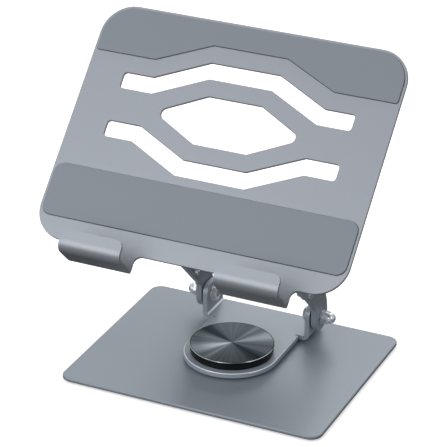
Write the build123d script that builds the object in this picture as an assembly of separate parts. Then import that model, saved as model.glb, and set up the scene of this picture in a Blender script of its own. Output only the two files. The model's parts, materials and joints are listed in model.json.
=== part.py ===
"""Folding laptop stand: a base plate, a turntable, two arms and a tilting panel.

Frame: X to the right, -Y towards the user, +Z up, millimetres.  The origin lies on the
table, at the middle of the whole stand's footprint.  The pieces are drawn round the
turntable's axis, which is the middle of the base plate, and moved back by STAND_BACK at
the end.  The panel's pieces are drawn flat in the panel's own frame (x across, y up the
slope from the bottom edge, z out of the top face) and then tilted into place.
"""

import os
from math import cos, radians, sin, sqrt

from build123d import *

# ---------------------------------------------------------------- driving dimensions
# Base plate and feet
BASE_WIDTH = 225.0
BASE_DEPTH = 177.0
BASE_THICKNESS = 3.0
BASE_CORNER_RADIUS = 10.0
BASE_TOP_EDGE_RADIUS = 1.0
BASE_BOTTOM_CHAMFER = 0.4
FOOT_DIAMETER = 16.0
FOOT_HEIGHT = 2.0
FOOT_EDGE_RADIUS = 0.6
FOOT_INSET = 15.0
PLATE_TOP = FOOT_HEIGHT + BASE_THICKNESS

# Turntable: a stud through the base plate, clamped with washers and a thin nut
STUD_RADIUS = 4.0
STUD_FLANGE_RADIUS = 11.0
STUD_FLANGE_HEIGHT = 1.2
STUD_TIP_CHAMFER = 0.5
RUNNING_CLEARANCE = 0.07
THRUST_WASHER_RADIUS = 30.0
THRUST_WASHER_HEIGHT = 2.4
WASHER_GAP = 0.1
FRICTION_RING_RADIUS = 13.0
FRICTION_RING_HEIGHT = 0.6
SPRING_WASHER_RADIUS = 10.0
SPRING_WASHER_HEIGHT = 1.0
SPRING_WASHER_SHEET = 0.5
PIVOT_NUT_ACROSS_FLATS = 13.0
PIVOT_NUT_HEIGHT = 3.7

# Turntable bracket: a tongue under the cap and two ears for the lower hinge
BRACKET_SHEET = 4.0
TONGUE_BOTTOM = PLATE_TOP + THRUST_WASHER_HEIGHT + WASHER_GAP
TONGUE_TOP = TONGUE_BOTTOM + BRACKET_SHEET
TONGUE_RADIUS = 39.3
TONGUE_EDGE_RADIUS = 0.8
BRACKET_REAR = 78.0
HEEL_HEIGHT = 3.0
RELIEF_LENGTH = 6.0
RELIEF_WIDTH = 1.6
EAR_INNER = 44.0
EAR_OUTER = EAR_INNER + BRACKET_SHEET
EAR_BEND_RADIUS = 2.0
EAR_HALF_WIDTH = 12.0
EAR_ABOVE_AXIS = 11.0
EAR_CORNER_RADIUS = 8.5
EAR_REAR_BELOW_AXIS = 2.0

# Cap over the turntable's nut
CAP_RING_RADIUS = 34.0
CAP_RING_WALL = 5.0
CAP_RING_HEIGHT = 5.5
CAP_RING_EDGE_RADIUS = 0.5
CAP_DISC_RADIUS = 34.5
CAP_DISC_THICKNESS = 1.6
CAP_DISC_CHAMFER = 0.6

# Hinges: an M6 bolt on each side, the same pieces at both ends of the arms
LOWER_AXIS_Y = 58.5
LOWER_AXIS_Z = PLATE_TOP + 21.5
BOLT_RADIUS = 3.0
BOLT_HEAD_HEIGHT = 4.0
HEX_ACROSS_FLATS = 10.0
HEX_CORNER_CHAMFER = 0.06  # of the width across flats
INNER_WASHER_RADIUS = 7.0
INNER_WASHER_HEIGHT = 1.0
HINGE_GAP = 1.2
FRICTION_WASHER_RADIUS = 9.5
WASHER_BORE_CLEARANCE = 0.1
OUTER_WASHER_RADIUS = 6.2
OUTER_WASHER_HEIGHT = 1.2
CAP_NUT_HEX_HEIGHT = 5.0
CAP_NUT_DOME_RADIUS = 4.7
CAP_NUT_NECK = 1.0

# Arms: flat bars that rise from the lower hinge, bend forward and meet the panel squarely
PANEL_TILT = 45.4
ARM_THICKNESS = 5.0
ARM_INNER = EAR_OUTER + HINGE_GAP
ARM_OUTER = ARM_INNER + ARM_THICKNESS
ARM_LENGTH = 164.0
ARM_WIDTH = 20.0
ARM_LUG_RADIUS = 12.0
ARM_FRONT_BEND_RADIUS = 9.0
ARM_REAR_BEND_RADIUS = 38.0
ARM_EDGE_CHAMFER = 0.4
ARM_CHAMFERED_EDGE_LENGTH = 20.0

# Cross brace between the arms, a channel with its flanges against their inner faces
BRACE_SHEET = 2.0
BRACE_BEND_RADIUS = 1.0
BRACE_START = 37.0
BRACE_END = 108.0
BRACE_DEPTH_FROM = 0.5
BRACE_DEPTH_TO = 15.0
BRACE_SCREWS = [(42.5, 4.8), (100.0, 7.0)]
BRACE_SCREW_RADIUS = 2.0
BRACE_HEAD_RADIUS = 3.8
BRACE_HEAD_HEIGHT = 2.2
BRACE_HEAD_EDGE_RADIUS = 1.6
BRACE_SCREW_PAST_NUT = 1.0
BRACE_NUT_ACROSS_FLATS = 7.0
BRACE_NUT_HEIGHT = 3.2
SOCKET_INRADIUS = 1.25
SOCKET_DEPTH = 1.2

# Panel, in its own frame
PANEL_WIDTH = 260.0
PANEL_LENGTH = 201.0
PANEL_SHEET = 2.5
PANEL_CORNER_RADIUS = 26.0
PANEL_EDGE_CHAMFER = 0.3
CUTOUT_MIDDLE = 117.2
# Each slot's two edges, from its middle outwards, above the cut-outs' middle line
SLOT_NEAR_EDGE = [(26.5, 34.4), (70.0, 14.0), (98.0, 14.0)]
SLOT_FAR_EDGE = [(29.2, 48.0), (72.7, 27.6), (98.0, 27.6)]
SLOT_CORNER_RADIUS = 3.0
HEXAGON_HALF_WIDTH = 63.0
HEXAGON_FLAT_HALF_WIDTH = 22.5
HEXAGON_HALF_HEIGHT = 20.3
HEXAGON_POINT_RADIUS = 5.0
LIP_INNER = 39.0
LIP_OUTER = 91.0
LIP_DROP = 15.0
LIP_DEPTH = 28.0
LIP_TIP = 1.7
LIP_ROOT_RADIUS = 6.5
LIP_TIP_RADIUS = 6.0
LIP_FRONT_BEND_RADIUS = 8.5
LIP_BACK_BEND_RADIUS = 3.0
LIP_ROOT_MARGIN = 1.0

# Anti-slip pads on the panel
PAD_THICKNESS = 1.2
PAD_INSET = 2.3
PAD_EDGE_RADIUS = 0.4
TOP_PAD_LOW = 159.5
TOP_PAD_HIGH = 179.5
TOP_PAD_KNEE_OUTER = 76.0
TOP_PAD_KNEE_INNER = 31.5
TOP_PAD_CORNER_RADIUS = 2.0
BOTTOM_PAD_FROM = 18.0
BOTTOM_PAD_TO = 61.5
BOTTOM_PAD_CORNER_RADIUS = 8.0

# Bracket under the panel that carries the upper hinge, in the panel's frame
UPPER_AXIS_ALONG = 42.7
UPPER_AXIS_BELOW = 20.0
PANEL_BRACKET_SHEET = 3.0
PANEL_BRACKET_HALF_LENGTH = 16.0
PANEL_SCREW_SPACING_X = 60.0
PANEL_SCREW_SPACING_Y = 20.0
PANEL_SCREW_RADIUS = 2.0
PANEL_SCREW_HEAD_RADIUS = 3.8
PANEL_SCREW_HEAD_HEIGHT = 1.8

# ---------------------------------------------------------------- placing
# From the middle of the footprint, lips to base's rear edge, back to the turntable's axis.
STAND_BACK = 16.95
SIDES = {"left": -1, "right": 1}
BOTTOM = (Align.CENTER, Align.CENTER, Align.MIN)

lower_hinge = Location((0, LOWER_AXIS_Y, LOWER_AXIS_Z))
# The arms' frame has its origin on the lower axis, y across the arm and z along it.
arm_frame = lower_hinge * Rot(X=PANEL_TILT)
upper_hinge = arm_frame * Location((0, ARM_WIDTH / 2, ARM_LENGTH))
panel_frame = upper_hinge * Location((0, -UPPER_AXIS_ALONG, UPPER_AXIS_BELOW))


def washer(radius, hole_radius, height):
    """A flat ring standing on the XY plane."""
    return Cylinder(radius, height, align=BOTTOM) - Cylinder(hole_radius, height, align=BOTTOM)


def hexagon_prism(across_flats, height):
    """A hexagon standing on the XY plane, with the turned corners of a nut or a bolt head."""
    prism = extrude(RegularPolygon(across_flats / 2, 6, major_radius=False), height)
    turned = Cylinder(across_flats / sqrt(3), height, align=BOTTOM)
    turned = chamfer(turned.edges().filter_by(GeomType.CIRCLE), HEX_CORNER_CHAMFER * across_flats)
    return prism & turned


def socket():
    """The hexagon socket of a small screw, cut downwards from the XY plane."""
    return extrude(RegularPolygon(SOCKET_INRADIUS, 6, major_radius=False), -SOCKET_DEPTH)


def sideways(shape, side, start):
    """Lays a shape drawn along +Z on the X axis, pointing outwards from |x| = start."""
    return Pos(side * start, 0, 0) * Rot(Y=90 * side) * shape


def channel(half_width, sheet, bend_radius, height, from_y, to_y):
    """A bent channel, open upwards, that runs along Y with its web on the XY plane."""
    outside = Pos(0, height / 2) * Rectangle(2 * half_width, height)
    outside = fillet(outside.vertices().group_by(Axis.Y)[0], bend_radius + sheet)
    inside = Pos(0, sheet + height / 2) * Rectangle(2 * (half_width - sheet), height)
    inside = fillet(inside.vertices().group_by(Axis.Y)[0], bend_radius)
    section = Plane.XZ * (outside - inside)
    return Pos(0, to_y, 0) * extrude(section, to_y - from_y)


# ---------------------------------------------------------------- base
def base_plate():
    outline = RectangleRounded(BASE_WIDTH, BASE_DEPTH, BASE_CORNER_RADIUS)
    plate = Pos(0, 0, FOOT_HEIGHT) * extrude(outline, BASE_THICKNESS)
    plate = fillet(plate.faces().sort_by(Axis.Z)[-1].edges(), BASE_TOP_EDGE_RADIUS)
    plate = chamfer(plate.faces().sort_by(Axis.Z)[0].edges(), BASE_BOTTOM_CHAMFER)
    return plate - Cylinder(STUD_RADIUS, 4 * PLATE_TOP)


def foot(side_x, side_y):
    pad = Cylinder(FOOT_DIAMETER / 2, FOOT_HEIGHT, align=BOTTOM)
    pad = fillet(pad.edges().group_by(Axis.Z)[0], FOOT_EDGE_RADIUS)
    x = side_x * (BASE_WIDTH / 2 - FOOT_INSET)
    y = side_y * (BASE_DEPTH / 2 - FOOT_INSET)
    return Pos(x, y, 0) * pad


def turntable_stack():
    """The pieces on the stud, from the plate upwards."""
    bore = STUD_RADIUS + RUNNING_CLEARANCE
    friction_base = TONGUE_TOP + WASHER_GAP
    spring_base = friction_base + FRICTION_RING_HEIGHT
    nut_base = spring_base + SPRING_WASHER_HEIGHT
    nut_top = nut_base + PIVOT_NUT_HEIGHT

    flange = Pos(0, 0, FOOT_HEIGHT - STUD_FLANGE_HEIGHT) * Cylinder(
        STUD_FLANGE_RADIUS, STUD_FLANGE_HEIGHT, align=BOTTOM
    )
    shank = Pos(0, 0, FOOT_HEIGHT) * Cylinder(STUD_RADIUS, nut_top - FOOT_HEIGHT, align=BOTTOM)
    shank = chamfer(shank.edges().group_by(Axis.Z)[-1], STUD_TIP_CHAMFER)

    cone = Plane.XZ * Polygon(
        (bore, SPRING_WASHER_HEIGHT - SPRING_WASHER_SHEET),
        (SPRING_WASHER_RADIUS, 0),
        (SPRING_WASHER_RADIUS, SPRING_WASHER_SHEET),
        (bore, SPRING_WASHER_HEIGHT),
        align=None,
    )
    nut = hexagon_prism(PIVOT_NUT_ACROSS_FLATS, PIVOT_NUT_HEIGHT)
    nut -= Cylinder(STUD_RADIUS, 4 * PIVOT_NUT_HEIGHT)
    return {
        "pivot_stud": flange + shank,
        "thrust_washer": Pos(0, 0, PLATE_TOP) * washer(THRUST_WASHER_RADIUS, bore, THRUST_WASHER_HEIGHT),
        "pivot_friction_ring": Pos(0, 0, friction_base)
        * washer(FRICTION_RING_RADIUS, bore, FRICTION_RING_HEIGHT),
        "pivot_spring_washer": Pos(0, 0, spring_base) * revolve(cone, Axis.Z),
        "pivot_nut": Pos(0, 0, nut_base) * nut,
    }


# ---------------------------------------------------------------- turntable
def ear_outline():
    """The ears' outline in Y and Z, from the tongue up to the lower hinge."""
    front = LOWER_AXIS_Y - EAR_HALF_WIDTH
    rear = LOWER_AXIS_Y + EAR_HALF_WIDTH
    top = LOWER_AXIS_Z + EAR_ABOVE_AXIS
    outline = Polygon(
        (front, TONGUE_BOTTOM),
        (BRACKET_REAR, TONGUE_BOTTOM),
        (BRACKET_REAR, TONGUE_TOP + HEEL_HEIGHT),
        (rear, LOWER_AXIS_Z - EAR_REAR_BELOW_AXIS),
        (rear, top),
        (front, top),
        align=None,
    )
    outline = fillet(outline.vertices().group_by(Axis.Y)[-1], EAR_CORNER_RADIUS)
    return Plane.YZ * outline


def turntable_bracket():
    front = LOWER_AXIS_Y - EAR_HALF_WIDTH
    height = LOWER_AXIS_Z + EAR_ABOVE_AXIS - TONGUE_BOTTOM
    bent = Pos(0, 0, TONGUE_BOTTOM) * channel(
        EAR_OUTER, BRACKET_SHEET, EAR_BEND_RADIUS, height, front, BRACKET_REAR
    )
    bent &= extrude(ear_outline(), 2 * EAR_OUTER, both=True)

    tongue = Circle(TONGUE_RADIUS) + Pos(0, front / 2) * Rectangle(2 * TONGUE_RADIUS, front)
    tongue = Pos(0, 0, TONGUE_BOTTOM) * extrude(tongue, BRACKET_SHEET)
    rim = tongue.faces().sort_by(Axis.Z)[-1].edges().sort_by(Axis.Y)[:-1]
    tongue = fillet(rim, TONGUE_EDGE_RADIUS)
    relief = Pos(TONGUE_RADIUS, front - RELIEF_WIDTH / 2) * SlotOverall(RELIEF_LENGTH, RELIEF_WIDTH)
    relief = extrude(relief, 2 * TONGUE_TOP)
    tongue -= relief + mirror(relief, about=Plane.YZ)

    bracket = bent + tongue
    bracket -= Cylinder(STUD_RADIUS + RUNNING_CLEARANCE, 4 * TONGUE_TOP)
    return bracket - lower_hinge * Rot(Y=90) * Cylinder(BOLT_RADIUS, 4 * EAR_OUTER)


def cap_ring():
    inner = CAP_RING_RADIUS - CAP_RING_WALL
    ring = Cylinder(CAP_RING_RADIUS, CAP_RING_HEIGHT, align=BOTTOM)
    ring = fillet(ring.edges().group_by(Axis.Z)[0], CAP_RING_EDGE_RADIUS)
    return Pos(0, 0, TONGUE_TOP) * (ring - Cylinder(inner, 4 * CAP_RING_HEIGHT))


def cap_disc():
    disc = Cylinder(CAP_DISC_RADIUS, CAP_DISC_THICKNESS, align=BOTTOM)
    disc = chamfer(disc.edges().group_by(Axis.Z)[-1], CAP_DISC_CHAMFER)
    return Pos(0, 0, TONGUE_TOP + CAP_RING_HEIGHT) * disc


# ---------------------------------------------------------------- hinge hardware
def hinge_pieces(side):
    """One side of a hinge, on the X axis: bolt head inside, ear, arm, cap nut outside."""
    head_start = EAR_INNER - INNER_WASHER_HEIGHT - BOLT_HEAD_HEIGHT
    nut_start = ARM_OUTER + WASHER_GAP + OUTER_WASHER_HEIGHT
    nut_depth = CAP_NUT_HEX_HEIGHT + CAP_NUT_NECK
    bolt_end = nut_start + nut_depth
    bolt = hexagon_prism(HEX_ACROSS_FLATS, BOLT_HEAD_HEIGHT)
    bolt += Cylinder(BOLT_RADIUS, bolt_end - head_start, align=BOTTOM)

    nut = hexagon_prism(HEX_ACROSS_FLATS, CAP_NUT_HEX_HEIGHT)
    nut += Cylinder(CAP_NUT_DOME_RADIUS, nut_depth, align=BOTTOM)
    dome = Sphere(CAP_NUT_DOME_RADIUS, arc_size1=0, align=Align.NONE)
    nut += Pos(0, 0, nut_depth) * dome
    nut -= Cylinder(BOLT_RADIUS, nut_depth, align=BOTTOM)

    bore = BOLT_RADIUS + WASHER_BORE_CLEARANCE
    inner = washer(INNER_WASHER_RADIUS, BOLT_RADIUS, INNER_WASHER_HEIGHT)
    friction = washer(FRICTION_WASHER_RADIUS, bore, HINGE_GAP - WASHER_GAP)
    outer = washer(OUTER_WASHER_RADIUS, bore, OUTER_WASHER_HEIGHT)
    return {
        "bolt": sideways(bolt, side, head_start),
        "inner_washer": sideways(inner, side, EAR_INNER - INNER_WASHER_HEIGHT),
        "friction_washer": sideways(friction, side, EAR_OUTER),
        "outer_washer": sideways(outer, side, ARM_OUTER + WASHER_GAP),
        "cap_nut": sideways(nut, side, nut_start),
    }


# ---------------------------------------------------------------- arms
def arm_outline():
    """The arm in its own frame, looking along X: y across it, z along it."""
    lean = radians(PANEL_TILT)
    up = Vector(sin(lean), cos(lean))
    back = Vector(cos(lean), -sin(lean))
    # Edges of the upright stretch, which lie one lug radius either side of the axis.
    front_foot = back * -ARM_LUG_RADIUS
    rear_foot = back * ARM_LUG_RADIUS
    front_corner = front_foot + up * (-front_foot.X / up.X)
    rear_corner = rear_foot + up * ((ARM_WIDTH - rear_foot.X) / up.X)
    bar = Polygon(
        (front_foot.X, front_foot.Y),
        (rear_foot.X, rear_foot.Y),
        (rear_corner.X, rear_corner.Y),
        (ARM_WIDTH, ARM_LENGTH),
        (0, ARM_LENGTH),
        (front_corner.X, front_corner.Y),
        align=None,
    )
    rear_bend = bar.vertices().sort_by_distance((rear_corner.X, rear_corner.Y, 0))[0]
    bar = fillet(rear_bend, ARM_REAR_BEND_RADIUS)
    front_bend = bar.vertices().sort_by_distance((front_corner.X, front_corner.Y, 0))[0]
    bar = fillet(front_bend, ARM_FRONT_BEND_RADIUS)
    return bar + Circle(ARM_LUG_RADIUS) + Pos(ARM_WIDTH / 2, ARM_LENGTH) * Circle(ARM_WIDTH / 2)


def arm(side):
    hole = Circle(BOLT_RADIUS + RUNNING_CLEARANCE)
    outline = arm_outline() - hole - Pos(ARM_WIDTH / 2, ARM_LENGTH) * hole
    for along, across in BRACE_SCREWS:
        outline -= Pos(across, along) * Circle(BRACE_SCREW_RADIUS)
    bar = extrude(Plane.YZ * outline, ARM_THICKNESS)
    rims = bar.faces().filter_by(Axis.X).edges()
    bar = chamfer(rims.filter_by(lambda edge: edge.length > ARM_CHAMFERED_EDGE_LENGTH), ARM_EDGE_CHAMFER)
    start = ARM_INNER if side > 0 else -ARM_OUTER
    return arm_frame * Pos(start, 0, 0) * bar


def cross_brace():
    depth = BRACE_DEPTH_TO - BRACE_DEPTH_FROM
    brace = channel(ARM_INNER, BRACE_SHEET, BRACE_BEND_RADIUS, depth, BRACE_START, BRACE_END)
    # Stand the channel up along the arms, its web at the back.
    brace = Pos(0, BRACE_DEPTH_TO, 0) * Rot(X=90) * brace
    for along, across in BRACE_SCREWS:
        brace -= Pos(0, across, along) * Rot(Y=90) * Cylinder(BRACE_SCREW_RADIUS, 4 * ARM_OUTER)
    return arm_frame * brace


def brace_fasteners():
    """Button-head screws from outside the arms, and their nuts inside the brace's flanges."""
    nut_start = ARM_INNER - BRACE_SHEET
    length = ARM_OUTER - nut_start + BRACE_NUT_HEIGHT + BRACE_SCREW_PAST_NUT
    head = Cylinder(BRACE_HEAD_RADIUS, BRACE_HEAD_HEIGHT, align=BOTTOM)
    head = fillet(head.edges().group_by(Axis.Z)[-1], BRACE_HEAD_EDGE_RADIUS)
    head -= Pos(0, 0, BRACE_HEAD_HEIGHT) * socket()
    screw = head + Pos(0, 0, -length) * Cylinder(BRACE_SCREW_RADIUS, length, align=BOTTOM)
    nut = hexagon_prism(BRACE_NUT_ACROSS_FLATS, BRACE_NUT_HEIGHT)
    nut -= Cylinder(BRACE_SCREW_RADIUS, 4 * BRACE_NUT_HEIGHT)
    screws = []
    nuts = []
    for side in SIDES.values():
        for along, across in BRACE_SCREWS:
            place = arm_frame * Pos(0, across, along)
            screws.append(place * sideways(screw, side, ARM_OUTER))
            nuts.append(place * sideways(nut, side, nut_start - BRACE_NUT_HEIGHT))
    return {"brace_screws": Compound(children=screws), "brace_nuts": Compound(children=nuts)}


# ---------------------------------------------------------------- panel
def zigzag_slot(direction):
    """A slot that steps away from the cut-outs' middle line, upwards (1) or downwards (-1)."""
    right = SLOT_NEAR_EDGE + SLOT_FAR_EDGE[::-1]
    left = [(-x, y) for x, y in right[::-1]]
    slot = Polygon(*[(x, direction * y) for x, y in right + left], align=None)
    groups = slot.vertices().group_by(Axis.X)
    slot = fillet(groups[0] + groups[-1], SLOT_CORNER_RADIUS)
    return Pos(0, CUTOUT_MIDDLE) * slot


def hexagon_cutout():
    hexagon = Polygon(
        (HEXAGON_HALF_WIDTH, 0),
        (HEXAGON_FLAT_HALF_WIDTH, HEXAGON_HALF_HEIGHT),
        (-HEXAGON_FLAT_HALF_WIDTH, HEXAGON_HALF_HEIGHT),
        (-HEXAGON_HALF_WIDTH, 0),
        (-HEXAGON_FLAT_HALF_WIDTH, -HEXAGON_HALF_HEIGHT),
        (HEXAGON_FLAT_HALF_WIDTH, -HEXAGON_HALF_HEIGHT),
        align=None,
    )
    groups = hexagon.vertices().group_by(Axis.X)
    hexagon = fillet(groups[0] + groups[-1], HEXAGON_POINT_RADIUS)
    return Pos(0, CUTOUT_MIDDLE) * hexagon


def panel_sheet():
    """The flat sheet, with the roots of the two lips at its bottom edge."""
    lip_middle = (LIP_INNER + LIP_OUTER) / 2
    lip_width = LIP_OUTER - LIP_INNER
    root_end = LIP_ROOT_RADIUS + LIP_ROOT_MARGIN
    outline = Pos(0, PANEL_LENGTH / 2) * RectangleRounded(PANEL_WIDTH, PANEL_LENGTH, PANEL_CORNER_RADIUS)
    root = Rectangle(lip_width + 2 * LIP_ROOT_RADIUS, 2 * LIP_ROOT_RADIUS)
    for edge in (-1, 1):
        corner = edge * (lip_width / 2 + LIP_ROOT_RADIUS)
        root -= Pos(corner, -LIP_ROOT_RADIUS) * Circle(LIP_ROOT_RADIUS)
    root += Rectangle(lip_width, 2 * root_end)
    for side in SIDES.values():
        outline += Pos(side * lip_middle, 0) * root
    cutouts = zigzag_slot(1) + zigzag_slot(-1) + hexagon_cutout()
    sheet = Pos(0, 0, -PANEL_SHEET) * extrude(outline - cutouts, PANEL_SHEET)
    rims = [face.edges() for face in sheet.faces().filter_by(Axis.Z)]
    soft = [edge for rim in rims for edge in rim if edge.center().Y > -LIP_ROOT_RADIUS]
    return chamfer(soft, PANEL_EDGE_CHAMFER), root_end


def lip(root_end):
    """The right-hand hook at the bottom edge: a shelf square to the sheet and a front plate."""
    height = LIP_DEPTH + PANEL_SHEET
    length = LIP_TIP + LIP_DROP
    outside = Pos(-LIP_DROP, -PANEL_SHEET) * Rectangle(length, height, align=Align.MIN)
    back, front = outside.vertices().group_by(Axis.X)[0].sort_by(Axis.Y)
    outside = fillet(back, LIP_BACK_BEND_RADIUS)
    front = outside.vertices().group_by(Axis.X)[0].sort_by(Axis.Y)[-1]
    outside = fillet(front, LIP_FRONT_BEND_RADIUS)

    inside = Pos(PANEL_SHEET - LIP_DROP, 0) * Rectangle(length, LIP_DEPTH - PANEL_SHEET, align=Align.MIN)
    back = inside.vertices().group_by(Axis.X)[0].sort_by(Axis.Y)[0]
    inside = fillet(back, LIP_BACK_BEND_RADIUS - PANEL_SHEET)
    front = inside.vertices().group_by(Axis.X)[0].sort_by(Axis.Y)[-1]
    inside = fillet(front, LIP_FRONT_BEND_RADIUS - PANEL_SHEET)
    overlap = Pos(-root_end, -PANEL_SHEET) * Rectangle(length, PANEL_SHEET, align=Align.MIN)

    hook = extrude(Plane.YZ * (outside - inside - overlap), LIP_OUTER - LIP_INNER)
    tips = hook.edges().filter_by(Axis.Z).group_by(Axis.Y)[-1]
    return Pos(LIP_INNER, 0, 0) * fillet(tips, LIP_TIP_RADIUS)


def panel():
    sheet, root_end = panel_sheet()
    hook = lip(root_end)
    sheet += hook + mirror(hook, about=Plane.YZ)
    return panel_frame * (sheet - panel_screws())


def top_pad():
    half_width = PANEL_WIDTH / 2 - PAD_INSET
    top = PANEL_LENGTH - PAD_INSET
    right = [
        (half_width, top),
        (half_width, TOP_PAD_LOW),
        (TOP_PAD_KNEE_OUTER, TOP_PAD_LOW),
        (TOP_PAD_KNEE_INNER, TOP_PAD_HIGH),
    ]
    left = [(-x, y) for x, y in right[::-1]]
    pad = Polygon(*(right + left), align=None)
    pad = fillet(pad.vertices().group_by(Axis.Y)[-1], PANEL_CORNER_RADIUS - PAD_INSET)
    outer = pad.vertices().group_by(Axis.Y)[0].sort_by(Axis.X)
    pad = fillet([outer[0], outer[-1]], TOP_PAD_CORNER_RADIUS)
    return pad_solid(pad)


def bottom_pad():
    length = BOTTOM_PAD_TO - BOTTOM_PAD_FROM
    pad = RectangleRounded(PANEL_WIDTH - 2 * PAD_INSET, length, BOTTOM_PAD_CORNER_RADIUS)
    return pad_solid(Pos(0, BOTTOM_PAD_FROM + length / 2) * pad)


def pad_solid(outline):
    pad = extrude(outline, PAD_THICKNESS, dir=(0, 0, 1))
    return panel_frame * fillet(pad.faces().sort_by(Axis.Z)[-1].edges(), PAD_EDGE_RADIUS)


# ---------------------------------------------------------------- panel bracket
def panel_screws():
    """The four countersunk screws, flush with the panel's top face, without their sockets."""
    cone_height = PANEL_SCREW_HEAD_HEIGHT
    cone = Cone(PANEL_SCREW_RADIUS, PANEL_SCREW_HEAD_RADIUS, cone_height, align=BOTTOM)
    length = PANEL_SHEET + PANEL_BRACKET_SHEET
    screw = Pos(0, 0, -length) * Cylinder(PANEL_SCREW_RADIUS, length, align=BOTTOM)
    screw += Pos(0, 0, -cone_height) * cone
    return Compound(children=[place * screw for place in screw_places()])


def screw_places():
    grid = GridLocations(PANEL_SCREW_SPACING_X, PANEL_SCREW_SPACING_Y, 2, 2)
    return [Pos(0, UPPER_AXIS_ALONG, 0) * place for place in grid]


def bracket_screws():
    screws = panel_screws().solids().sort_by(Axis.X)
    sockets = [place * socket() for place in screw_places()]
    return panel_frame * Compound(children=[screw - sockets for screw in screws])


def hinge_bracket():
    """The channel under the panel, drawn open upwards and then turned over."""
    height = UPPER_AXIS_BELOW - PANEL_SHEET + EAR_ABOVE_AXIS
    sheet = PANEL_BRACKET_SHEET
    reach = PANEL_BRACKET_HALF_LENGTH
    bent = channel(EAR_INNER + sheet, sheet, EAR_BEND_RADIUS, height, -reach, reach)
    outline = Polygon(
        (-reach, 0),
        (reach, 0),
        (reach, sheet + HEEL_HEIGHT),
        (EAR_HALF_WIDTH, height - EAR_ABOVE_AXIS),
        (EAR_HALF_WIDTH, height),
        (-EAR_HALF_WIDTH, height),
        (-EAR_HALF_WIDTH, height - EAR_ABOVE_AXIS),
        (-reach, sheet + HEEL_HEIGHT),
        align=None,
    )
    outline = fillet(outline.vertices().group_by(Axis.Y)[-1], EAR_CORNER_RADIUS)
    bent &= extrude(Plane.YZ * outline, 2 * EAR_OUTER, both=True)
    bent -= Pos(0, 0, height - EAR_ABOVE_AXIS) * Rot(Y=90) * Cylinder(BOLT_RADIUS, 4 * EAR_OUTER)
    bent = Pos(0, UPPER_AXIS_ALONG, -PANEL_SHEET) * Rot(Y=180) * bent
    return panel_frame * (bent - panel_screws())


# ---------------------------------------------------------------- the whole stand
def all_pieces():
    pieces = {"base_plate": base_plate()}
    for name_y, side_y in (("front", -1), ("rear", 1)):
        for name_x, side_x in SIDES.items():
            pieces[f"foot_{name_y}_{name_x}"] = foot(side_x, side_y)
    pieces.update(turntable_stack())
    pieces["turntable_bracket"] = turntable_bracket()
    pieces["cap_ring"] = cap_ring()
    pieces["cap_disc"] = cap_disc()
    for side_name, side in SIDES.items():
        pieces[f"arm_{side_name}"] = arm(side)
        for name, shape in hinge_pieces(side).items():
            pieces[f"lower_{name}_{side_name}"] = lower_hinge * shape
            pieces[f"upper_{name}_{side_name}"] = upper_hinge * shape
    pieces["cross_brace"] = cross_brace()
    pieces.update(brace_fasteners())
    pieces["panel"] = panel()
    pieces["top_pad"] = top_pad()
    pieces["bottom_pad"] = bottom_pad()
    pieces["hinge_bracket"] = hinge_bracket()
    pieces["bracket_screws"] = bracket_screws()
    return pieces


os.makedirs("parts", exist_ok=True)
for node, shape in all_pieces().items():
    export_step(Pos(0, STAND_BACK, 0) * shape, f"parts/{node}.step")
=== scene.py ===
"""Folding laptop stand: finishes, turned hinge hardware and a plain studio round the CAD frame.

Metres, +Z up, -Y towards the user. The CAD model is the fixed frame: its nodes get their
materials here, and the turned pieces made here stand for the plain ones of the same size.
"""

import json
from math import cos, pi, radians, sin

import bpy
from bpy.props import FloatProperty, FloatVectorProperty, IntProperty, PointerProperty
from mathutils import Matrix, Quaternion, Vector


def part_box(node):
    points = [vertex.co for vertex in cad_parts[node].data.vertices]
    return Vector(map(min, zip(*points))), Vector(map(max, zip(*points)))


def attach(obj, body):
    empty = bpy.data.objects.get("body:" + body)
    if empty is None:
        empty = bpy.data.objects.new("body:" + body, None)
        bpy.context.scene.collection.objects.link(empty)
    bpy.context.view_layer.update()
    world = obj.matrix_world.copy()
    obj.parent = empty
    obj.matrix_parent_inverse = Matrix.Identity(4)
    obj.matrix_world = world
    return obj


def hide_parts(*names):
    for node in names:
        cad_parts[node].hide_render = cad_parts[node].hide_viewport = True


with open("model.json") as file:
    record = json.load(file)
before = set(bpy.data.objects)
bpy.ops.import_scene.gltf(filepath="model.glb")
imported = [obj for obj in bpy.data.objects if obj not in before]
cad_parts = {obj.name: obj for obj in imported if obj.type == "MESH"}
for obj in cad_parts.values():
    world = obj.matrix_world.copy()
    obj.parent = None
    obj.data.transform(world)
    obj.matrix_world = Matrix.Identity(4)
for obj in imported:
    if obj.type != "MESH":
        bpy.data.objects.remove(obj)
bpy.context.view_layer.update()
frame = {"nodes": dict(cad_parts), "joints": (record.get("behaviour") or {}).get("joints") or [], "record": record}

bl_info = {
    "name": "Laptop Stand",
    "version": (1, 0, 0),
    "blender": (4, 5, 0),
    "location": "3D View > Sidebar > Laptop Stand",
    "description": "Finishes and small turned parts of a folding laptop stand",
    "category": "Object",
}

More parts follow.
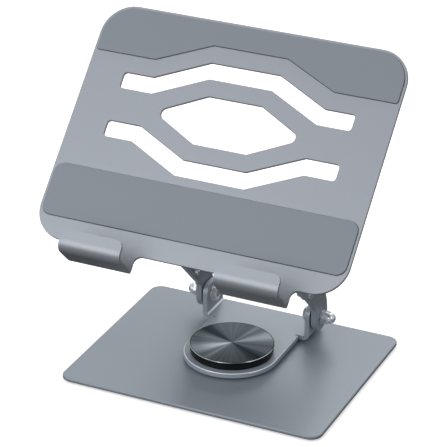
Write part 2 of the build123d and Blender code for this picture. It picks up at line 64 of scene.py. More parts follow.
SIDES = {"left": -1, "right": 1}
HINGES = {"lower": "turntable", "upper": "panel"}
SMOOTH_ANGLE = radians(30)
MERGE_DISTANCE = 2e-6
HEX_SIDES = 6.0
HEX_CORNER = 1 / cos(pi / 6)  # a hexagon's width across its corners, over its width across flats
BELOW_PIECE = -0.001  # any height under a turned piece, which starts at zero
HOLE_PLAY = 0.0001
PAST_FACE = 0.0001  # a nut's flats are cut this far past its flat face
NUT_TURN = 0.35  # how far the hinges' hexagons are turned from level, in radians
CLEAR_OF_TONGUE = 0.002  # this far above the bracket's tongue there is only its ears
COATED_NODES = ["base_plate", "arm_left", "arm_right", "cross_brace", "hinge_bracket"]
PAD_NODES = ["top_pad", "bottom_pad"]
FOOT_NODES = ["foot_front_left", "foot_front_right", "foot_rear_left", "foot_rear_right"]
BLACK_NODES = ["thrust_washer", "pivot_friction_ring", "cap_ring"]
ZINC_NODES = [
    "pivot_stud",
    "pivot_nut",
    "pivot_spring_washer",
    "brace_screws",
    "brace_nuts",
    "bracket_screws",
]
# (name, place, width, power) of each soft light
LIGHTS = [
    ("key_light", (-0.9, -1.1, 1.9), 1.2, 6.0),
    ("fill_light", (1.5, -0.6, 1.3), 1.2, 4.0),
    ("front_light", (-0.35, -1.05, 0.6), 0.8, 6.5),
    ("back_light", (-0.2, 1.7, 1.5), 1.6, 14.0),
]
LIGHTS_AIM = Vector((0.0, 0.0, 0.1))


def joint_place(name):
    """A point on a joint's axis, from the frame."""
    return Vector(next(joint for joint in frame["joints"] if joint["name"] == name)["pos_m"])


# ------------------------------------------------------------------ nodes as expressions
def find_socket(sockets, key):
    """A socket by its identifier where it has that one, and otherwise by its name."""
    for socket in sockets:
        if socket.identifier == key:
            return socket
    return sockets[key]


class Number:
    """A socket that carries one number, so that maths on it is written as an expression."""

    def __init__(self, nodes, socket):
        self.nodes = nodes
        self.socket = socket

    def maths(self, operation, first, second=0.0):
        node = self.nodes.add(
            "ShaderNodeMath", {"operation": operation}, {"Value": first, "Value_001": second}
        )
        return Number(self.nodes, node.outputs["Value"])

    def __add__(self, other):
        return self.maths("ADD", self, other)

    def __sub__(self, other):
        return self.maths("SUBTRACT", self, other)

    def __rsub__(self, other):
        return self.maths("SUBTRACT", other, self)

    def __mul__(self, other):
        return self.maths("MULTIPLY", self, other)

    def __truediv__(self, other):
        return self.maths("DIVIDE", self, other)

    def __rtruediv__(self, other):
        return self.maths("DIVIDE", other, self)

    def __pow__(self, other):
        return self.maths("POWER", self, other)

    def __abs__(self):
        return self.maths("ABSOLUTE", self)

    __radd__ = __add__
    __rmul__ = __mul__

    def cos(self):
        return self.maths("COSINE", self)

    def sin(self):
        return self.maths("SINE", self)

    def angle_from(self, across):
        return self.maths("ARCTAN2", self, across)

    def wrapped(self, period):
        return self.maths("FLOORED_MODULO", self, period)

    def at_least(self, other):
        return self.maths("MAXIMUM", self, other)

    def at_most(self, other):
        return self.maths("MINIMUM", self, other)

    def rounded(self):
        return self.maths("ROUND", self)

    def above(self, other):
        return self.maths("GREATER_THAN", self, other)

    def stretched(self, low, high, to_low=0.0, to_high=1.0):
        """This number's stretch from low to high, taken smoothly to another, and held outside it."""
        node = self.nodes.add(
            "ShaderNodeMapRange",
            {"interpolation_type": "SMOOTHSTEP"},
            {"Value": self, "From Min": low, "From Max": high, "To Min": to_low, "To Max": to_high},
        )
        return Number(self.nodes, node.outputs["Result"])


class Nodes:
    """Adds nodes to one tree: a node's settings first, then its sockets' values or links."""

    def __init__(self, tree):
        self.tree = tree

    def add(self, kind, settings=None, inputs=None):
        node = self.tree.nodes.new(kind)
        for name, value in (settings or {}).items():
            setattr(node, name, value)
        for key, value in (inputs or {}).items():
            self.feed(find_socket(node.inputs, key), value)
        return node

    def feed(self, socket, value):
        if isinstance(value, Number):
            value = value.socket
        if isinstance(value, bpy.types.NodeSocket):
            self.tree.links.new(value, socket)
        else:
            socket.default_value = value

    def number(self, node, output):
        return Number(self, find_socket(node.outputs, output))

    def split(self, vector):
        node = self.add("ShaderNodeSeparateXYZ", inputs={"Vector": vector})
        return [self.number(node, axis) for axis in "XYZ"]

    def joined(self, x, y, z):
        return self.add("ShaderNodeCombineXYZ", inputs={"X": x, "Y": y, "Z": z}).outputs["Vector"]


# ------------------------------------------------------------------ finishes
class Finish(Nodes):
    """A material's nodes round one Principled shader, on the piece's object coordinates."""

    def __init__(self, name, **constants):
        material = bpy.data.materials.new(name)
        material.use_nodes = True
        material.node_tree.nodes.clear()
        super().__init__(material.node_tree)
        self.material = material
        coordinates = self.add("ShaderNodeTexCoord").outputs
        self.place = coordinates["Object"]
        self.facing = coordinates["Normal"]
        self.shader = self.add("ShaderNodeBsdfPrincipled")
        for key, value in constants.items():
            self.shader.inputs[label(key)].default_value = value
        self.add("ShaderNodeOutputMaterial", inputs={"Surface": self.shader.outputs["BSDF"]})

    def noise(self, scale, detail=2.0, place=None):
        node = self.add(
            "ShaderNodeTexNoise",
            inputs={"Vector": place or self.place, "Scale": scale, "Detail": detail},
        )
        return self.number(node, "Fac")

    def cells(self, scale):
        node = self.add("ShaderNodeTexVoronoi", inputs={"Vector": self.place, "Scale": scale})
        return self.number(node, "Distance")

    def blended(self, factor, first, second):
        """One colour turning into another, as the factor goes from 0 to 1."""
        node = self.add(
            "ShaderNodeMix",
            {"data_type": "RGBA"},
            {"Factor_Float": factor, "A_Color": first, "B_Color": second},
        )
        return find_socket(node.outputs, "Result_Color")

    def speckled(self, colour, clouds, drift, grain, start, amount, glint):
        """A colour that drifts with the clouds, and glints where the grain rises past its start."""
        specks = grain.stretched(start, 0.8, 0.0, amount)
        drifting = self.blended(clouds, shade(colour, 1.0 - drift), shade(colour, 1.0 + drift))
        return self.blended(specks, drifting, shade(colour, glint))

    def relief(self, height, depth, strength=1.0, under=None):
        """A bump of that height map. Another relief under it goes in through its normal."""
        node = self.add(
            "ShaderNodeBump", inputs={"Strength": strength, "Distance": depth, "Height": height}
        )
        if under:
            self.feed(node.inputs["Normal"], under)
        return node.outputs["Normal"]

    def show(self, **links):
        for key, value in links.items():
            self.feed(self.shader.inputs[label(key)], value)
        return self.material


def label(key):
    """The shader's label for a keyword, such as Specular IOR Level for specular_ior_level."""
    return key.replace("_", " ").title().replace("Ior", "IOR")


def shade(colour, factor):
    """A colour, lighter or darker by that factor, with its alpha."""
    return (*[channel * factor for channel in colour], 1.0)


def coated_steel(name, colour, painted_edge_highlight=0.0):
    """Satin powder coat: a fine orange peel, faint clouds, and grain that glints a little.

    The painted edge highlight is how far the coat is painted pale on the tongue's upper edge: a painted highlight
    where its sloping faces catch the light.
    """
    finish = Finish(name, metallic=0.25, ior=1.5, coat_weight=0.12, coat_roughness=0.22)
    clouds = finish.noise(scale=9.0, detail=3.0)
    grain = finish.noise(scale=2600.0, detail=1.0)
    peel = finish.noise(scale=900.0)
    coat = finish.speckled(colour, clouds, 0.05, grain, start=0.55, amount=0.35, glint=1.45)
    if painted_edge_highlight:
        _, _, up = finish.split(finish.facing)
        _, _, height = finish.split(finish.place)
        sloping = up.stretched(0.3, 0.5) * (1.0 - up.stretched(0.85, 0.97))
        on_tongue = 1.0 - height.above(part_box("cap_ring")[0].z + CLEAR_OF_TONGUE)
        # painted highlight: the coat is painted pale on the sloping faces of the tongue's upper edge
        coat = finish.blended(sloping * on_tongue * painted_edge_highlight, coat, shade(colour, 2.9))
    roughness = 0.44 + 0.10 * clouds - 0.06 * grain
    fine_bump = finish.relief(grain, depth=0.00001, strength=0.3)
    bump = finish.relief(peel, depth=0.00003, strength=0.35, under=fine_bump)
    return finish.show(base_color=coat, roughness=roughness, normal=bump)


def blasted_aluminium(settings):
    """Bead-blasted and anodised sheet: tiny pits, a soft sheen and a faint drift of tone."""
    finish = Finish("blasted_aluminium", metallic=0.45, ior=1.5)
    clouds = finish.noise(scale=6.0, detail=3.0)
    pits = finish.noise(scale=3200.0, detail=1.0)
    dimples = finish.cells(scale=1500.0)
    colour = finish.speckled(
        settings.aluminium, clouds, 0.04, pits, start=0.55, amount=0.3, glint=1.4
    )
    fine_bump = finish.relief(pits, depth=0.00001, strength=0.25)
    bump = finish.relief(dimples, depth=0.00002, strength=0.3, under=fine_bump)
    return finish.show(base_color=colour, roughness=0.42 + 0.10 * clouds, normal=bump)


def silicone(settings):
    """Matt silicone sheet: a fine pebbled skin that holds a little dust."""
    finish = Finish("silicone", specular_ior_level=0.3)
    dust = finish.noise(scale=5.0, detail=4.0)
    speckle = finish.noise(scale=1800.0, detail=1.0)
    pebbles = finish.cells(scale=1100.0)
    colour = finish.speckled(
        settings.silicone, dust, 0.04, speckle, start=0.6, amount=0.25, glint=1.35
    )
    bump = finish.relief(pebbles, depth=0.00006, strength=0.4)
    return finish.show(base_color=colour, roughness=0.72 + 0.12 * dust, normal=bump)


def adhesive(settings):
    """A dark line painted round a pad's edge: painted shade along the edge."""
    finish = Finish("adhesive", specular_ior_level=0.3)
    patches = finish.noise(scale=300.0)
    colour = finish.blended(patches, shade(settings.adhesive, 0.8), shade(settings.adhesive, 1.2))
    bump = finish.relief(patches, depth=0.0001, strength=0.3)
    return finish.show(base_color=colour, roughness=0.6 + 0.2 * patches, normal=bump)


def worn_rubber(settings):
    """Black moulded rubber, greyed by wear on its high spots."""
    finish = Finish("worn_rubber", specular_ior_level=0.35)
    wear = finish.noise(scale=420.0, detail=4.0)
    colour = finish.blended(
        wear.stretched(0.5, 0.75), shade(settings.rubber, 1.0), shade(settings.rubber, 2.2)
    )
    bump = finish.relief(wear, depth=0.00012, strength=0.5)
    return finish.show(base_color=colour, roughness=0.66 + 0.2 * wear, normal=bump)


def bright_zinc(settings):
    """Bright zinc plate over turned steel: fine tool marks, and patches of rougher plate whose dark colour is a
    painted reflection.
    """
    finish = Finish("bright_zinc", metallic=0.65)
    x, y, z = finish.split(finish.place)
    marks = finish.noise(scale=90.0, detail=3.0, place=finish.joined(x * 30.0, y, z))
    patches = finish.noise(scale=380.0, detail=3.0)
    # the patches are rougher plate, and their dark colour is a painted dark reflection
    colour = finish.blended(
        patches.stretched(0.45, 0.7), shade(settings.zinc, 1.0), shade(settings.zinc, 0.5)
    )
    roughness = patches.stretched(0.35, 0.75, 0.07, 0.22) + 0.05 * marks
    patch_bump = finish.relief(patches, depth=0.00003, strength=0.3)
    bump = finish.relief(marks, depth=0.00004, strength=0.35, under=patch_bump)
    return finish.show(base_color=colour, roughness=roughness, normal=bump)


def black_moulding(settings):
    """Smooth black moulded plastic with a faint grain and hairline scuffs."""
    finish = Finish("black_moulding", specular_ior_level=0.15)
    grain = finish.noise(scale=1500.0)
    x, y, z = finish.split(finish.place)
    scuffs = finish.noise(scale=40.0, detail=4.0, place=finish.joined(x, y, z * 12.0))
    colour = finish.blended(
        scuffs.stretched(0.55, 0.8), shade(settings.plastic, 1.0), shade(settings.plastic, 2.0)
    )
    roughness = scuffs.stretched(0.4, 0.8, 0.24, 0.42)
    bump = finish.relief(grain, depth=0.00003, strength=0.3)
    return finish.show(base_color=colour, roughness=roughness, normal=bump)


def spun_metal(settings):
    """Dark metal spun under a cutter: fans of sheen that meet at the middle, over fine rings.

    Each fan is a pair of opposite sectors, as grooves round one middle give, painted into the colour by direction:
    a painted reflection. The lean paints the rear one of the pair fainter, as painted shade.
    """
    finish = Finish("spun_metal", metallic=1.0, specular_tint=(0.5, 0.5, 0.5, 1.0))
    middle = joint_place("base_swivel")
    x, y, _ = finish.split(finish.place)
    x = x - middle.x
    y = y - middle.y
    angle = y.angle_from(x)
    sheen = settings.plain_sheen
    # painted reflection: each fan of sheen is painted into the colour by its direction round the middle
    for direction, sharpness, strength in settings.fans():
        fan = abs((angle - direction).cos()) ** sharpness
        sheen = fan * strength + sheen
    around = finish.joined(angle.cos(), angle.sin(), 0.0)
    # streaks of painted sheen round the middle
    sheen_streaks = finish.noise(scale=12.0, detail=4.0, place=around)
    sheen = sheen + sheen_streaks.stretched(0.3, 0.7, -0.04, 0.04)
    # painted shade: the rear half of each fan is painted fainter
    sheen = sheen * (1.0 - settings.lean * (angle - settings.main_fan).cos())
    radius = (x * x + y * y) ** 0.5
    rings = (radius * (2 * pi / settings.ring_pitch)).sin()
    low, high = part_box("cap_disc")
    flat_end = (high.x - low.x) / 2 - settings.bevel
    rim = radius.above(flat_end - settings.rim_line)
    shown = (1.0 - rim) * sheen.at_least(0.0).at_most(1.0)
    colour = finish.blended(shown, shade(settings.disc_dark, 1.0), shade(settings.disc_bright, 1.0))
    bump = finish.relief(rings, depth=0.00002, strength=0.25)
    return finish.show(base_color=colour, roughness=0.48 - 0.06 * sheen, normal=bump)


def cut_bevel(settings):
    """The disc's bevel, cut bright through the dark finish, with faint chatter along it."""
    finish = Finish("cut_bevel", metallic=1.0)
    chatter = finish.noise(scale=700.0)
    colour = finish.blended(chatter, shade(settings.bevel, 0.75), shade(settings.bevel, 1.0))
    bump = finish.relief(chatter, depth=0.00002, strength=0.3)
    return finish.show(base_color=colour, roughness=0.16 + 0.12 * chatter, normal=bump)


def finish_once(maker, settings):
    """The material that a maker makes, made the first time that it is asked for."""
    return bpy.data.materials.get(maker.__name__) or maker(settings)


def coat(node_names, material):
    """Gives CAD nodes their material, and leaves their meshes alone."""
    for name in node_names:
        mesh = frame["nodes"][name].data
        mesh.materials.clear()
        mesh.materials.append(material)


# ------------------------------------------------------------------ geometry trees
class GeometryTree(Nodes):
    """A Geometry Nodes tree with named inputs, which ends in Realize Instances and Set Material."""

    def __init__(self, name, sockets):
        super().__init__(bpy.data.node_groups.new(name, "GeometryNodeTree"))
        face = self.tree.interface
        face.new_socket("Geometry", in_out="INPUT", socket_type="NodeSocketGeometry")
        for input_name, kind in {**sockets, "Finish": "NodeSocketMaterial"}.items():
            face.new_socket(input_name, in_out="INPUT", socket_type=kind)
        face.new_socket("Geometry", in_out="OUTPUT", socket_type="NodeSocketGeometry")
        self.given = self.add("NodeGroupInput").outputs

    def value(self, input_name):
        return Number(self, self.given[input_name])

    def merged(self, geometry):
        node = self.add(
            "GeometryNodeMergeByDistance", inputs={"Geometry": geometry, "Distance": MERGE_DISTANCE}
        )
        return node.outputs["Geometry"]

    def end(self, geometry):
        realized = self.add("GeometryNodeRealizeInstances", inputs={"Geometry": geometry})
        finished = self.add(
            "GeometryNodeSetMaterial",
            inputs={"Geometry": realized.outputs["Geometry"], "Material": self.given["Finish"]},
        )
        self.add("NodeGroupOutput", inputs={"Geometry": finished.outputs["Geometry"]})
        return self.tree


def turned_tree():
    """Turns a profile round the Z axis, and cuts flats on it between two heights.

    The profile is a row of points in the XZ plane, from the bottom up the outside to the
    top. With no flats it is a plain turned piece.
    """
    tree = GeometryTree(
        "turned_piece",
        {
            "Segments": "NodeSocketInt",
            "Flat Count": "NodeSocketFloat",
            "Across Flats": "NodeSocketFloat",
            "Flats From": "NodeSocketFloat",
            "Flats To": "NodeSocketFloat",
        },
    )
    profile = tree.given["Geometry"]
    size = tree.add("GeometryNodeAttributeDomainSize", {"component": "MESH"}, {"Geometry": profile})
    rows = tree.number(size, "Point Count")
    grid = tree.add(
        "GeometryNodeMeshGrid",
        inputs={
            "Size X": 1.0,
            "Size Y": 1.0,
            "Vertices X": tree.value("Segments") + 1.0,
            "Vertices Y": rows,
        },
    )
    position = tree.add("GeometryNodeInputPosition").outputs["Position"]
    across, along, _ = tree.split(position)
    turn = (across + 0.5) * (2 * pi)
    row = ((along + 0.5) * (rows - 1.0)).rounded()
    profile_point = tree.add(
        "GeometryNodeSampleIndex",
        {"data_type": "FLOAT_VECTOR", "domain": "POINT"},
        {"Geometry": profile, "Value": position, "Index": row},
    )
    radius, _, height = tree.split(find_socket(profile_point.outputs, "Value"))
    step = 2 * pi / tree.value("Flat Count")
    flat_reach = tree.value("Across Flats") * 0.5 / (turn.wrapped(step) - step * 0.5).cos()
    among_flats = height.above(tree.value("Flats From")) * tree.value("Flats To").above(height)
    flattened = radius.at_most(flat_reach)
    reach = radius + (flattened - radius) * among_flats
    moved = tree.add(
        "GeometryNodeSetPosition",
        inputs={
            "Geometry": grid.outputs["Mesh"],
            "Position": tree.joined(reach * turn.cos(), reach * turn.sin(), height),
        },
    )
    return tree.end(tree.merged(moved.outputs["Geometry"]))


def placed_tree():
    """Copies a piece to each point, its Z axis along the point's axis and turned about it."""
    tree = GeometryTree("placed_piece", {"Piece": "NodeSocketObject"})
    piece = tree.add("GeometryNodeObjectInfo", inputs={"Object": tree.given["Piece"]})
    axis = tree.add("GeometryNodeInputNamedAttribute", {"data_type": "FLOAT_VECTOR"}, {"Name": "axis"})
    turn = tree.add("GeometryNodeInputNamedAttribute", {"data_type": "FLOAT"}, {"Name": "turn"})
    aimed = tree.add(
        "FunctionNodeAlignRotationToVector",
        {"axis": "Z"},
        {"Vector": find_socket(axis.outputs, "Attribute")},
    )
    spin = tree.add(
        "FunctionNodeAxisAngleToRotation",
        inputs={"Axis": (0.0, 0.0, 1.0), "Angle": find_socket(turn.outputs, "Attribute")},
    )
    rotation = tree.add(
        "FunctionNodeRotateRotation",
        {"rotation_space": "LOCAL"},
        {"Rotation": aimed.outputs["Rotation"], "Rotate By": spin.outputs["Rotation"]},
    )
    copies = tree.add(
        "GeometryNodeInstanceOnPoints",
        inputs={
            "Points": tree.given["Geometry"],
            "Instance": piece.outputs["Geometry"],
            "Rotation": rotation.outputs["Rotation"],
        },
    )
    return tree.end(copies.outputs["Instances"])


def toothed_washer_tree():
    """A lock washer: a flat ring with a twisted tooth repeated round its rim.

    The sheet is thinner than the washer's height, which the twisted teeth fill.
    """
    tree = GeometryTree(
        "toothed_washer",
        {
            "Hole Radius": "NodeSocketFloat",
            "Ring Radius": "NodeSocketFloat",
            "Outer Radius": "NodeSocketFloat",
            "Height": "NodeSocketFloat",
            "Teeth": "NodeSocketInt",
            "Twist": "NodeSocketFloat",
        },
    )
    hole = tree.value("Hole Radius")
    ring = tree.value("Ring Radius")
    outer = tree.value("Outer Radius")
    sheet = tree.value("Height") * 0.62
    tooth_length = (outer - hole) * 0.75
    tooth_width = outer * 0.2
    tooth_middle = outer - (outer - hole) * 0.4
    rail = tree.add(
        "GeometryNodeCurvePrimitiveCircle", inputs={"Resolution": 96, "Radius": (hole + ring) * 0.5}
    )
    section = tree.add(
        "GeometryNodeCurvePrimitiveQuadrilateral", inputs={"Width": ring - hole, "Height": sheet}
    )
    band = tree.add(
        "GeometryNodeCurveToMesh",
        inputs={"Curve": rail.outputs["Curve"], "Profile Curve": section.outputs["Curve"]},
    )
    tooth = tree.add(
        "GeometryNodeMeshCube", inputs={"Size": tree.joined(tooth_length, tooth_width, sheet)}
    )
    places = tree.add(
        "GeometryNodeCurvePrimitiveCircle",
        inputs={"Resolution": tree.value("Teeth"), "Radius": tooth_middle},
    )
    points = tree.add(
        "GeometryNodeCurveToPoints",
        {"mode": "EVALUATED"},
        {"Curve": places.outputs["Curve"]},
    )
    radial = tree.add(
        "FunctionNodeAlignRotationToVector",
        {"axis": "X", "pivot_axis": "Z"},
        {"Vector": tree.add("GeometryNodeInputPosition").outputs["Position"]},
    )
    twist = tree.add(
        "FunctionNodeAxisAngleToRotation",
        inputs={"Axis": (1.0, 0.0, 0.0), "Angle": tree.value("Twist")},
    )
    aimed = tree.add(
        "FunctionNodeRotateRotation",
        {"rotation_space": "LOCAL"},
        {"Rotation": radial.outputs["Rotation"], "Rotate By": twist.outputs["Rotation"]},
    )
    teeth = tree.add(
        "GeometryNodeInstanceOnPoints",
        inputs={
            "Points": points.outputs["Points"],
            "Instance": tooth.outputs["Mesh"],
            "Rotation": aimed.outputs["Rotation"],
        },
    )
    joined = tree.add("GeometryNodeJoinGeometry")
    for part in (band.outputs["Mesh"], teeth.outputs["Instances"]):
        tree.feed(joined.inputs["Geometry"], part)
    return tree.end(joined.outputs["Geometry"])


def outline_bead_tree():
    """Runs a thin bead along the sharp rim where a pad meets the face it is stuck to."""
    tree = GeometryTree(
        "outline_bead",
        {
            "Pad": "NodeSocketObject",
            "Face Point": "NodeSocketVector",
            "Face Normal": "NodeSocketVector",
            "Bead Radius": "NodeSocketFloat",
            "Step": "NodeSocketFloat",
        },
    )
    pad = tree.add("GeometryNodeObjectInfo", inputs={"Object": tree.given["Pad"]})
    position = tree.add("GeometryNodeInputPosition").outputs["Position"]
    away = tree.add(
        "ShaderNodeVectorMath",
        {"operation": "SUBTRACT"},
        {"Vector": position, "Vector_001": tree.given["Face Point"]},
    )
    height = tree.add(
        "ShaderNodeVectorMath",
        {"operation": "DOT_PRODUCT"},
        {"Vector": away.outputs["Vector"], "Vector_001": tree.given["Face Normal"]},
    )
    lifted = abs(tree.number(height, "Value")).above(tree.value("Bead Radius") * 0.2)
    bend = tree.add("GeometryNodeInputMeshEdgeAngle")
    sharp = tree.number(bend, "Unsigned Angle").above(pi / 4)
    rim = tree.add(
        "GeometryNodeMeshToCurve",
        inputs={
            "Mesh": tree.merged(pad.outputs["Geometry"]),
            "Selection": (1.0 - lifted) * sharp,
        },
    )
    even = tree.add(
        "GeometryNodeResampleCurve",
        {"mode": "LENGTH"},
        {"Curve": rim.outputs["Curve"], "Length": tree.value("Step")},
    )
    section = tree.add(
        "GeometryNodeCurvePrimitiveCircle",
        inputs={"Resolution": 8, "Radius": tree.value("Bead Radius")},
    )
    bead = tree.add(
        "GeometryNodeCurveToMesh",
        inputs={"Curve": even.outputs["Curve"], "Profile Curve": section.outputs["Curve"]},
    )
    return tree.end(bead.outputs["Mesh"])


# ------------------------------------------------------------------ making pieces
def linked(name, mesh):
    piece = bpy.data.objects.new(name, mesh)
    bpy.context.scene.collection.objects.link(piece)
    return piece


def points_mesh(name, points):
    mesh = bpy.data.meshes.new(name + "_points")
    mesh.from_pydata([tuple(point) for point in points], [], [])
    return mesh


def grown(name, tree, values, points=()):
    """A piece grown by a tree on the given points."""
    return grown_from(linked(name, points_mesh(name, points)), tree, values)


def grown_from(carrier, tree, values):
    """Turns a piece into what a tree makes of it: a plain mesh, smooth up to its sharp edges."""
    modifier = carrier.modifiers.new(tree.name, "NODES")
    modifier.node_group = tree
    for item in tree.interface.items_tree:
        if item.in_out == "INPUT" and item.name in values:
            modifier[item.identifier] = values[item.name]
    evaluated = carrier.evaluated_get(bpy.context.evaluated_depsgraph_get())
    mesh = bpy.data.meshes.new_from_object(evaluated)
    if not mesh.polygons:
        raise RuntimeError(f"{carrier.name} came out empty")
    carrier.modifiers.remove(modifier)
    carrier.data = mesh
    mesh.name = carrier.name
    mesh.materials.clear()
    mesh.materials.append(values["Finish"])
    mesh.polygons.foreach_set("material_index", [0] * len(mesh.polygons))
    mesh.shade_smooth()
    mesh.set_sharp_from_angle(angle=SMOOTH_ANGLE)
    return carrier


def placed(name, template, material, places):
    """Copies of a template at (point, axis, turn) places, as one piece."""
    start = points_mesh(name, [point for point, _, _ in places])
    axes = [coordinate for _, axis, _ in places for coordinate in axis]
    turns = [turn for _, _, turn in places]
    start.attributes.new("axis", "FLOAT_VECTOR", "POINT").data.foreach_set("vector", axes)
    start.attributes.new("turn", "FLOAT", "POINT").data.foreach_set("value", turns)
    piece = grown_from(linked(name, start), placed_tree(), {"Piece": template, "Finish": material})
    bpy.data.objects.remove(template)
    return piece


def turned(name, profile, material, segments, across_flats=0.0, flats_top=BELOW_PIECE):
    """A piece turned from (radius, height) points, with a hexagon cut on it up to the flats' top."""
    values = {
        "Segments": segments,
        "Flat Count": HEX_SIDES,
        "Across Flats": across_flats,
        "Flats From": BELOW_PIECE,
        "Flats To": flats_top,
        "Finish": material,
    }
    points = [(radius, 0.0, height) for radius, height in profile]
    return grown(name, turned_tree(), values, points)


def hexagonal(name, profile, material, sizes, flats_top):
    """A turned piece of the hinges' hardware that a spanner fits."""
    return turned(name, profile, material, sizes.segments, sizes.across_flats, flats_top)


def arc(centre, radius, start, end, steps):
    """(radius, height) points of a profile's round stretch."""
    points = []
    for step in range(steps + 1):
        angle = start + (end - start) * step / steps
        points.append((centre[0] + radius * cos(angle), centre[1] + radius * sin(angle)))
    return points


def eased_corner(rim, bevel):
    """(radius, height) points from a nut's flat face round its eased corner to its rim."""
    return [(rim - 1.6 * bevel, 0.0), (rim - 0.7 * bevel, 0.3 * bevel), (rim, bevel)]


def hinge_places(hinge, piece):
    """Where a piece of hinge hardware starts on each side, its outward axis and its turn."""
    axis = joint_place(hinge + "_hinge")
    places = []
    for side_name, side in SIDES.items():
        low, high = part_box(f"{hinge}_{piece}_{side_name}")
        start = min(abs(low.x), abs(high.x))
        point = Vector((side * start, axis.y, axis.z))
        places.append((point, (side, 0.0, 0.0), NUT_TURN * side))
    return places


def stands_for(piece, body, nodes):
    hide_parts(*nodes)
    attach(piece, body)


def hinge_set(piece_name, template_maker, material):
    """Both sides of a piece of hardware at each hinge, standing for the CAD pieces there."""
    for hinge, body in HINGES.items():
        template = template_maker()
        places = hinge_places(hinge, piece_name)
        piece = placed(f"{hinge}_{piece_name}s", template, material, places)
        nodes = [f"{hinge}_{piece_name}_{side}" for side in SIDES]
        stands_for(piece, body, nodes)


# ------------------------------------------------------------------ settings
def length(name, description, default):
    return FloatProperty(
        name=name, description=description, default=default, unit="LENGTH", precision=5
    )


def share(name, description, default, most=1.0):
    return FloatProperty(name=name, description=description, default=default, min=0.0, max=most)


def degrees(name, description, default):
    return FloatProperty(
        name=name, description=description, default=radians(default), subtype="ANGLE"
    )


def tint(name, description, default):
    return FloatVectorProperty(
        name=name, description=description, default=default, subtype="COLOR", size=3, min=0.0, max=1.0
    )


class FinishSettings(bpy.types.PropertyGroup):
    steel: tint("Steel coat", "Powder coat on the base, brackets and arms", (0.248, 0.285, 0.327))
    # the same powder coat as the steel, painted lighter for the light that the bracket's tongue catches
    bracket: tint("Bracket coat", "Powder coat on the turntable bracket", (0.305, 0.343, 0.388))
    aluminium: tint("Panel", "Anodised colour of the panel", (0.297, 0.320, 0.357))
    silicone: tint("Pads", "Colour of the anti-slip pads", (0.222, 0.246, 0.280))
    # painted shade: colour of the dark line round each pad's edge
    adhesive: tint("Adhesive", "Colour of the line round each pad", (0.055, 0.063, 0.075))
    rubber: tint("Feet", "Colour of the rubber feet", (0.022, 0.022, 0.024))
    zinc: tint("Zinc", "Colour of the bright plated hardware", (0.84, 0.87, 0.92))
    bevel: tint("Cut bevel", "Colour of the disc's bright bevel", (0.74, 0.79, 0.84))
    plastic: tint("Black plastic", "Colour of the cap's ring and the washers", (0.006, 0.006, 0.007))


class DiscSettings(bpy.types.PropertyGroup):
    disc_dark: tint("Dark", "Disc where its grooves turn light away", (0.012, 0.019, 0.026))
    disc_bright: tint("Bright", "Disc along its brightest fan", (0.500, 0.556, 0.594))
    plain_sheen: share("Plain sheen", "Sheen between the fans", 0.22)
    # painted shade: how much fainter the rear half of each painted fan is made
    lean: share("Lean", "How much fainter the rear half of each fan is", 0.4)
    rim_line: length("Rim line", "Width of the dark line inside the bevel", 0.0005)
    ring_pitch: length("Ring pitch", "Distance from one fine ring to the next", 0.0006)
    groove_pitch: length("Groove pitch", "Distance from one turned groove to the next", 0.00115)
    groove_depth: length("Groove depth", "Depth of a turned groove", 0.000025)
    bevel: length("Bevel", "Width of the bright bevel round the rim", 0.0004)
    main_fan: degrees("Main fan", "Direction of the widest fan", 46.0)

    def fans(self):
        """(direction, sharpness, strength) of each painted fan of sheen. A negative one is a painted shadow."""
        return [
            (self.main_fan, 40.0, 0.50),
            (self.main_fan - radians(11), 30.0, 0.15),
            (self.main_fan + radians(28), 300.0, 0.27),
            (self.main_fan - radians(48), 120.0, 0.09),
            (self.main_fan - radians(72), 25.0, -0.18),
        ]


class HardwareSettings(bpy.types.PropertyGroup):
    across_flats: length("Across flats", "Width of the nuts and bolt heads across flats", 0.010)
    bolt_radius: length("Bolt radius", "Radius of the hinge bolts", 0.003)
    corner_bevel: length("Corner bevel", "Bevel on the corners of nuts and heads", 0.0006)
    dome_radius: length("Dome radius", "Radius of the cap nuts' domes", 0.0047)
    nut_height: length("Nut height", "Height of the cap nuts' flats", 0.005)
    head_height: length("Head height", "Height of the bolts' heads", 0.004)
    teeth: IntProperty(name="Teeth", description="Teeth round a lock washer", default=14, min=6)
    twist: degrees("Twist", "Twist of a lock washer's teeth", 16.0)
    segments: IntProperty(name="Segments", description="Steps round a turned piece", default=96, min=24)


class FootSettings(bpy.types.PropertyGroup):
    rings: IntProperty(name="Treads", description="Raised rings under a foot", default=3, min=1)
    tread: length("Tread depth", "Depth of the grooves between the rings", 0.0005)
    edge: length("Edge radius", "Radius of the foot's lower edge", 0.0006)
    segments: IntProperty(name="Segments", description="Steps round a foot", default=64, min=24)


class PadSettings(bpy.types.PropertyGroup):
    # the bead is the dark line of painted shade round each pad's edge
    bead_radius: length("Bead radius", "Radius of the adhesive line round each pad", 0.00035)
    step: length("Bead step", "Distance between the points of the line", 0.002)


class StageSettings(bpy.types.PropertyGroup):
    azimuth: degrees("Azimuth", "Camera's turn to the right", 24.478)
    elevation: degrees("Elevation", "Camera's height as an angle", 26.149)
    roll: degrees("Roll", "Camera's tilt", 0.484)
    distance: length("Distance", "From the camera to what it looks at", 1.917)
    lens: FloatProperty(
        name="Lens", description="Focal length on a 36 mm sensor", default=194.83, unit="CAMERA"
    )
    aim_left: length("Aim left", "How far left of the middle the camera looks", 0.0085)
    aim_height: length("Aim height", "How high the camera looks", 0.124)
    floor_size: length("Floor size", "Width of the floor", 12.0)
    floor_glow: share("Floor glow", "How much light of its own whitens the floor", 0.45)
    sky: share("Sky", "Brightness of the dome above", 0.75, most=10.0)
    ground: share("Ground", "Brightness from below", 0.06, most=10.0)


class StandSettings(bpy.types.PropertyGroup):
    finish: PointerProperty(type=FinishSettings)
    disc: PointerProperty(type=DiscSettings)
    hardware: PointerProperty(type=HardwareSettings)
    foot: PointerProperty(type=FootSettings)
    pad: PointerProperty(type=PadSettings)
    stage: PointerProperty(type=StageSettings)


